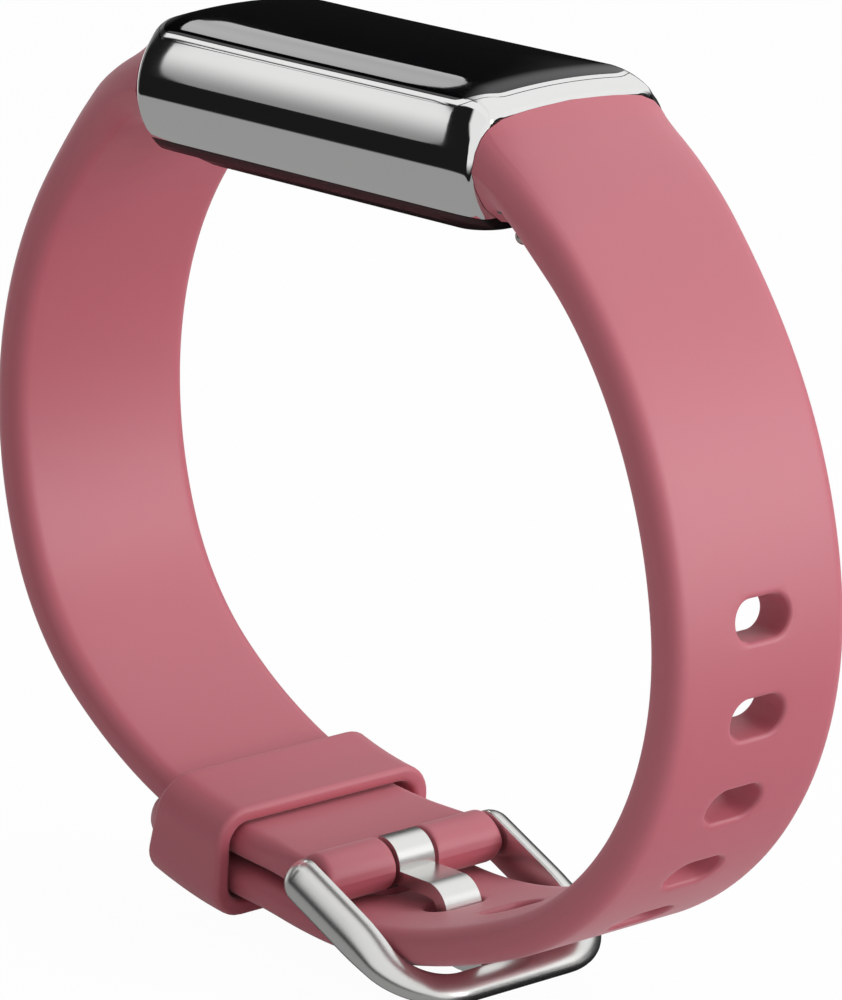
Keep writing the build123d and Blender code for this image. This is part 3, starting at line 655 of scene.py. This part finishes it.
def caseSection(e):
    # closed YZ outline; e is 0 in the middle and 1 at the strap joint
    def mix(name):
        a, b = tracker[name]
        return a + (b - a) * e
    bottomHalf, waist, rimHalf, rim = mix("bottomHalf"), mix("waist"), mix("rimHalf"), mix("rim")
    crownHalf, crown, drop = mix("crownHalf"), mix("crown"), mix("crownDrop")
    out, up = tracker["cornerBulge"]
    corner = ((rimHalf + crownHalf) / 2 + out, (rim + crown - drop) / 2 + up)
    right = arcThrough((bottomHalf, tracker["bottom"]), (waist, 0), (rimHalf, rim), tracker["sideArc"])
    right += arcThrough((rimHalf, rim), corner, (crownHalf, crown - drop), tracker["cornerArc"])
    top = arcThrough((crownHalf, crown - drop), (0, crown), (-crownHalf, crown - drop), tracker["columns"])
    left = [(-y, z) for y, z in reversed(right)]
    columns = tracker["bottomColumns"]
    bottom = [(-bottomHalf + 2 * bottomHalf * k / columns, tracker["bottom"]) for k in range(1, columns)]
    left = [(-crownHalf, crown - drop)] + left[:-1] + [(-bottomHalf, tracker["bottom"])]
    return right + top + left + bottom


def trackerForm():
    # the outside of case, bezel and glass in one smooth skin; the far end is kept fuller and lifted
    half = tracker["length"] / 2
    flat = tracker["straight"]
    endRound = tracker["endRound"]
    roundShare, softShare = tracker["endCurve"]["share"]
    roundPower, softPower = tracker["endCurve"]["power"]
    farShare, farRise = tracker["farLift"]
    places = [flat + (half - flat) * math.sin(math.radians(a)) for a in range(6, 91, 6)]
    places = [p for p in places if p < half - endRound - 0.05]
    places += [half - endRound * (1 - math.sin(math.radians(a))) for a in range(0, 91, 15)]
    places = [-p for p in reversed(places)] + [-flat + 2 * flat * k / 14 for k in range(15)] + places
    bm = bmesh.new()
    rings = []
    for x in places:
        u = max(0.0, (abs(x) - flat) / (half - flat))
        e = 1 - math.sqrt(max(0.0, 1 - u ** roundPower)) if u < 1 else 1.0
        e = (roundShare * e + softShare * u ** softPower) * (farShare if x < 0 else 1)
        up = farRise * max(0, -x / half) ** 2
        into = abs(x) - half + endRound
        inset = endRound - math.sqrt(max(0, endRound ** 2 - into ** 2)) if into > 0 else 0
        narrow = 1 - inset / tracker["waist"][1]
        flatten = 1 - inset / tracker["roundHeight"]
        rings.append([bm.verts.new((x, y * narrow, z * flatten + up * max(0, z / tracker["liftHeight"])))
                      for y, z in caseSection(e)])
    bridgeRings(bm, rings)
    bm.faces.new(rings[0])
    bm.faces.new(list(reversed(rings[-1])))
    bmesh.ops.recalc_face_normals(bm, faces=bm.faces)
    return bm


def glassPrism(extra, low, high=8):
    # upright prism on the glass outline, widened by extra
    left, right, width, leftCorner, rightCorner = tracker["glass"]
    corners = [(right, 1, rightCorner), (left, 1, leftCorner), (left, -1, leftCorner),
               (right, -1, rightCorner)]
    points = []
    for k, (x, y, r) in enumerate(corners):
        side = 1 if x > 0 else -1
        for i in range(13):
            a = math.radians(90 * k + 7.5 * i)
            points.append((x - side * r + (r + extra) * math.cos(a),
                           y * (width / 2 - r) + (r + extra) * math.sin(a)))
    return outlineBlock(points, "XY", low, high)


def aroundBlock(low, high):
    # block wider than the case between two heights
    return outlineBlock(roundedRectangle(*tracker["around"]), "XY", low, high)


def lugBlocks():
    # the rounded ears that hold the strap bars
    x, z = lug["centre"]
    r = lug["radius"]
    rootX, rootTop, rootBottom = lug["root"]
    blocks = []
    for side in (-1, 1):
        for hand in (-1, 1):
            nose = [(x * side + r * side * math.sin(math.radians(a)), z + r * math.cos(math.radians(a)))
                    for a in range(0, 181, 15)]
            y = hand * lug["across"]
            blocks.append(outlineBlock([(rootX * side, rootTop)] + nose + [(rootX * side, rootBottom)], "XZ",
                                       y - lug["halfWidth"], y + lug["halfWidth"]))
    return joined(blocks)


def skin(obj, formMesh):
    # the cut piece takes the smooth form's normals wherever it still lies on that form
    points = [v.co.copy() for v in formMesh.vertices]
    faces = [tuple(p.vertices) for p in formMesh.polygons]
    tree = BVHTree.FromPolygons(points, faces)
    vertexNormals = [v.normal.copy() for v in formMesh.vertices]
    mesh = obj.data
    normals = []
    endX = tracker["length"] / 2 - 0.01
    for poly in mesh.polygons:
        centre = poly.center / mm - Vector((0, 0, lift))
        normal, distance = tree.find_nearest(centre)[1::2]
        onForm = distance < 0.03 and poly.normal.dot(normal) > 0.9 and abs(normal.x) < 0.95
        for loop in poly.loop_indices:
            if not onForm:
                normals.append(tuple(poly.normal))
                continue
            co = mesh.vertices[mesh.loops[loop].vertex_index].co / mm - Vector((0, 0, lift))
            nearFace = faces[tree.find_nearest(co)[2]]
            total = Vector()
            for v in nearFace:
                if abs(points[v].x) < endX:
                    total += vertexNormals[v] * (1 / ((points[v] - co).length + 1e-4) ** 2)
            normals.append(tuple(total.normalized() if total.length else poly.normal))
    mesh.normals_split_custom_set(normals)


def makeTracker():
    # one smooth form cut into shell, case, bezel and glass
    form = trackerForm()
    formMesh = bpy.data.meshes.new("formTemp")
    form.to_mesh(formMesh)
    rim, shellTop = tracker["rim"][0], tracker["shellTop"]
    seat = glassPrism(tracker["bezel"] + tracker["seam"], rim)
    well = glassPrism(0, tracker["glassBottom"])
    room = outlineBlock(roundedRectangle(*tracker["room"]), "XY", -6, 6)
    case = cutAway(cutAway(cutAway(form.copy(), seat), well), room)
    shell = cutAway(case.copy(), aroundBlock(shellTop, 20))
    shell = cutAway(shell, aroundBlock(shellTop - tracker["shellSeam"], shellTop))
    shell = joined([shell, partMesh("back_cover")])
    finishPiece(shell, "backShell", shellMat, "band", ["back_cover"], 30)
    case = cutAway(case, aroundBlock(shellTop, 20), "INTERSECT")
    case = joined([case, lugBlocks()])
    case = finishPiece(case, "polishedCase", polishedMat, "band", ["case_body"], 30)
    skin(case, formMesh)
    ring = cutAway(form.copy(), glassPrism(tracker["bezel"], rim + 0.02), "INTERSECT")
    ring = cutAway(ring, glassPrism(tracker["glassSeam"], 0))
    skin(finishPiece(ring, "bezelRing", polishedMat, "band", ["bezel_ring"], 30), formMesh)
    glass = cutAway(form, glassPrism(0, tracker["glassBottom"]), "INTERSECT")
    skin(finishPiece(glass, "coverGlass", glassMat, "band", ["cover_glass"], 30), formMesh)
    bpy.data.meshes.remove(formMesh)


makeTracker()
print("tracker made")


def makeBarSpring(name):
    obj = finishPiece(partMesh(name + "_bar_spring"), name + "BarSpring", springMat, "band",
                      [name + "_bar_spring"])
    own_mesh(obj)


makeBarSpring("front")
makeBarSpring("rear")
print("bar springs made")


# studio: turns are degrees about the case's long axis, from straight ahead of its near side upwards,
# and x is millimetres along it; a band rises over its first two turns and fades over its last two,
# and a softbox spans its two turns
studio = {"floor": -0.0546, "floorSize": 3, "floorGlow": 0.97, "ambient": 0.38, "roomRadius": 215,
          "roomLength": 1400, "roomSegments": 96, "dark": 0.012, "cardRadius": 200, "cardRows": 32,
          "overhead": {"turns": (74, 84, 166, 178), "x": (-232, -60), "bright": 1.0},
          "frontWall": {"turns": (-14, 6, 80, 90), "x": (-108, -90), "bright": 0.95},
          "edgeLine": {"turns": (57, 59, 75, 77), "x": (-300, -290), "bright": 1.0},
          "bounce": {"turns": (-112, -92, -23, -20.5), "x": (-900, -890), "bright": 0.36},
          "farEnd": {"x": (-310, -350), "bright": 0.22},
          "sideSoftbox": {"x": (-251, -192), "turns": (6, 56), "end": 9.0, "bright": (0.3, 0.95),
                          "full": 0.8},
          "topSoftbox": {"x": (-258, -204), "turns": (86, 149), "end": 8.0, "bright": (4.4, 1.7),
                         "full": 1.0}}
camera = {"sensor": 36, "lens": 216, "clip": (0.01, 20), "place": (0.303602, -0.257020, 0.086589),
          "azimuth": 49.52, "elevation": 15.27}
lamps = {"target": (0, 0, -0.022), "distance": 0.5,
         "keyLamp": {"azimuth": 125, "elevation": 10, "size": 0.34, "power": 1.42},
         "overheadLamp": {"azimuth": 160, "elevation": 50, "size": 0.44, "power": 0.92}}


def makeCamera():
    # long lens from the near right, a little above the tracker
    cam = bpy.data.cameras.new("camera")
    cam.sensor_fit = "AUTO"
    cam.sensor_width = camera["sensor"]
    cam.lens = camera["lens"]
    cam.clip_start, cam.clip_end = camera["clip"]
    obj = bpy.data.objects.new("camera", cam)
    bpy.context.scene.collection.objects.link(obj)
    obj.location = camera["place"]
    back = directionOf(camera["azimuth"], camera["elevation"])
    obj.rotation_euler = (-back).to_track_quat("-Z", "Y").to_euler()
    bpy.context.scene.camera = obj


def showWhite(tree, white, other):
    # white for camera, glossy and transmission rays, the other shader for the rest
    path = addNode(tree, "ShaderNodeLightPath")
    seen = path.outputs["Is Camera Ray"]
    for ray in ("Is Glossy Ray", "Is Transmission Ray"):
        seen = addNode(tree, "ShaderNodeMath", {"operation": "MAXIMUM"},
                       links={0: seen, 1: path.outputs[ray]}).outputs[0]
    return addNode(tree, "ShaderNodeMixShader", links={0: seen, 1: other.outputs[0], 2: white.outputs[0]})


def makeWorld():
    world = bpy.data.worlds.new("studioWorld")
    bpy.context.scene.world = world
    world.use_nodes = True
    tree = world.node_tree
    plain = tree.nodes["Background"]
    plain.inputs["Color"].default_value = (1, 1, 1, 1)
    plain.inputs["Strength"].default_value = studio["ambient"]
    white = addNode(tree, "ShaderNodeBackground", inputs={"Color": (1, 1, 1, 1), "Strength": 1.0})
    mix = showWhite(tree, white, plain)
    tree.links.new(mix.outputs[0], tree.nodes["World Output"].inputs["Surface"])


def stagePiece(bm, name, mat, glossyOnly):
    obj = toObject(bm, name)
    obj.data.materials.append(mat)
    if glossyOnly:
        obj.visible_camera = obj.visible_diffuse = obj.visible_shadow = False
        obj.visible_transmission = obj.visible_volume_scatter = False
    return obj


def makeFloor():
    # pale floor that keeps a faint shadow under the buckle
    mat, tree, shader = newMaterial("paleFloor", {"Base Color": linearColour("#FAFAFA"), "Roughness": 0.9})
    glow = addNode(tree, "ShaderNodeEmission", inputs={"Color": (1, 1, 1, 1), "Strength": 1.0})
    mix = showWhite(tree, glow, shader)
    soften = addNode(tree, "ShaderNodeMixShader", inputs={"Fac": studio["floorGlow"]},
                     links={1: shader.outputs[0], 2: mix.outputs[0]})
    tree.links.new(soften.outputs[0], tree.nodes["Material Output"].inputs["Surface"])
    bm = bmesh.new()
    bmesh.ops.create_grid(bm, x_segments=1, y_segments=1, size=studio["floorSize"])
    bmesh.ops.translate(bm, verts=bm.verts, vec=(0, 0, studio["floor"]))
    stagePiece(bm, "floor", mat, False).visible_glossy = False


def emissionMaterial(name):
    mat = bpy.data.materials.new(name)
    mat.use_nodes = True
    tree = mat.node_tree
    tree.nodes.remove(tree.nodes["Principled BSDF"])
    glow = addNode(tree, "ShaderNodeEmission")
    tree.links.new(glow.outputs[0], tree.nodes["Material Output"].inputs["Surface"])
    return mat, tree, glow


def turnNodes(tree):
    # x in metres, and the turn about the case's long axis in radians
    coord = addNode(tree, "ShaderNodeTexCoord")
    parts = addNode(tree, "ShaderNodeSeparateXYZ", links={0: coord.outputs["Object"]})
    height = addNode(tree, "ShaderNodeMath", {"operation": "SUBTRACT"}, {1: lift * mm},
                     {0: parts.outputs["Z"]})
    ahead = addNode(tree, "ShaderNodeMath", {"operation": "MULTIPLY"}, {1: -1.0}, {0: parts.outputs["Y"]})
    turn = addNode(tree, "ShaderNodeMath", {"operation": "ARCTAN2"},
                   links={0: height.outputs[0], 1: ahead.outputs[0]})
    return parts.outputs["X"], turn.outputs[0]


def lightLevel(tree, edges):
    # product of smooth edges, each (reading, from, to, level before, level after)
    level = None
    for reading, start, stop, before, after in edges:
        edge = addNode(tree, "ShaderNodeMapRange", {"interpolation_type": "SMOOTHSTEP"},
                       {"From Min": start, "From Max": stop, "To Min": before, "To Max": after},
                       {"Value": reading}).outputs["Result"]
        if level is not None:
            edge = addNode(tree, "ShaderNodeMath", {"operation": "MULTIPLY"},
                           links={0: level, 1: edge}).outputs[0]
        level = edge
    return level


def makeRoom():
    # what polished metal sees: pale above and ahead towards +X, dark towards -X, a grey bounce from below
    mat, tree, glow = emissionMaterial("darkStudioRoom")
    x, turn = turnNodes(tree)
    levels = []
    for name in ("overhead", "frontWall", "edgeLine", "bounce"):
        band = studio[name]
        rise, risen, fade, faded = (math.radians(t) for t in band["turns"])
        x0, x1 = band["x"]
        levels.append(lightLevel(tree, [(turn, rise, risen, 0.0, 1.0), (turn, fade, faded, 1.0, 0.0),
                                        (x, x0 * mm, x1 * mm, 0.0, band["bright"])]))
    end = studio["farEnd"]
    brightest = lightLevel(tree, [(x, end["x"][1] * mm, end["x"][0] * mm, end["bright"], studio["dark"])])
    for level in levels:
        brightest = addNode(tree, "ShaderNodeMath", {"operation": "MAXIMUM"},
                            links={0: brightest, 1: level}).outputs[0]
    tree.links.new(brightest, glow.inputs["Strength"])
    bm = bmesh.new()
    radius = studio["roomRadius"] * mm
    lying = Matrix.Translation((0, 0, lift * mm)) @ Matrix.Rotation(math.pi / 2, 4, "Y")
    bmesh.ops.create_cone(bm, cap_ends=False, segments=studio["roomSegments"], radius1=radius,
                          radius2=radius, depth=studio["roomLength"] * mm, matrix=lying)
    stagePiece(bm, "studioRoom", mat, True)


def makeCard(name):
    # softbox bent about the case's long axis with rounded ends, seen only in reflections
    card = studio[name]
    mat, tree, glow = emissionMaterial(name)
    x, turn = turnNodes(tree)
    low, high = (math.radians(t) for t in card["turns"])
    level = lightLevel(tree, [(turn, low, low + (high - low) * card["full"], *card["bright"])])
    tree.links.new(level, glow.inputs["Strength"])
    radius = studio["cardRadius"]
    x0, x1 = card["x"]
    rows = []
    bm = bmesh.new()
    for k in range(studio["cardRows"] + 1):
        a = math.radians(180 * k / studio["cardRows"])
        turnHere = (low + high) / 2 - (high - low) / 2 * math.cos(a)
        inset = card["end"] * (1 - math.sin(a))
        y = -radius * math.cos(turnHere) * mm
        z = (radius * math.sin(turnHere) + lift) * mm
        rows.append([bm.verts.new((end * mm, y, z)) for end in (x0 + inset, x1 - inset)])
    for p, q in zip(rows, rows[1:]):
        bm.faces.new((p[0], p[1], q[1], q[0]))
    stagePiece(bm, name + "Card", mat, True)


def makeLamp(name):
    # soft area lamp aimed at the middle of the loop
    lamp = lamps[name]
    data = bpy.data.lights.new(name, "AREA")
    data.shape = "DISK"
    data.size = lamp["size"]
    data.energy = lamp["power"]
    obj = bpy.data.objects.new(name, data)
    bpy.context.scene.collection.objects.link(obj)
    away = directionOf(lamp["azimuth"], lamp["elevation"])
    obj.location = Vector(lamps["target"]) + away * lamps["distance"]
    obj.rotation_euler = (-away).to_track_quat("-Z", "Y").to_euler()


makeCamera()
makeWorld()
makeFloor()
makeRoom()
makeCard("sideSoftbox")
makeCard("topSoftbox")
makeLamp("keyLamp")
makeLamp("overheadLamp")
bpy.context.scene.view_settings.view_transform = "Standard"
print("studio made")

for mat, names in finishes:
    for name in names:
        paint(nodes[name], mat)
print("pieces painted")
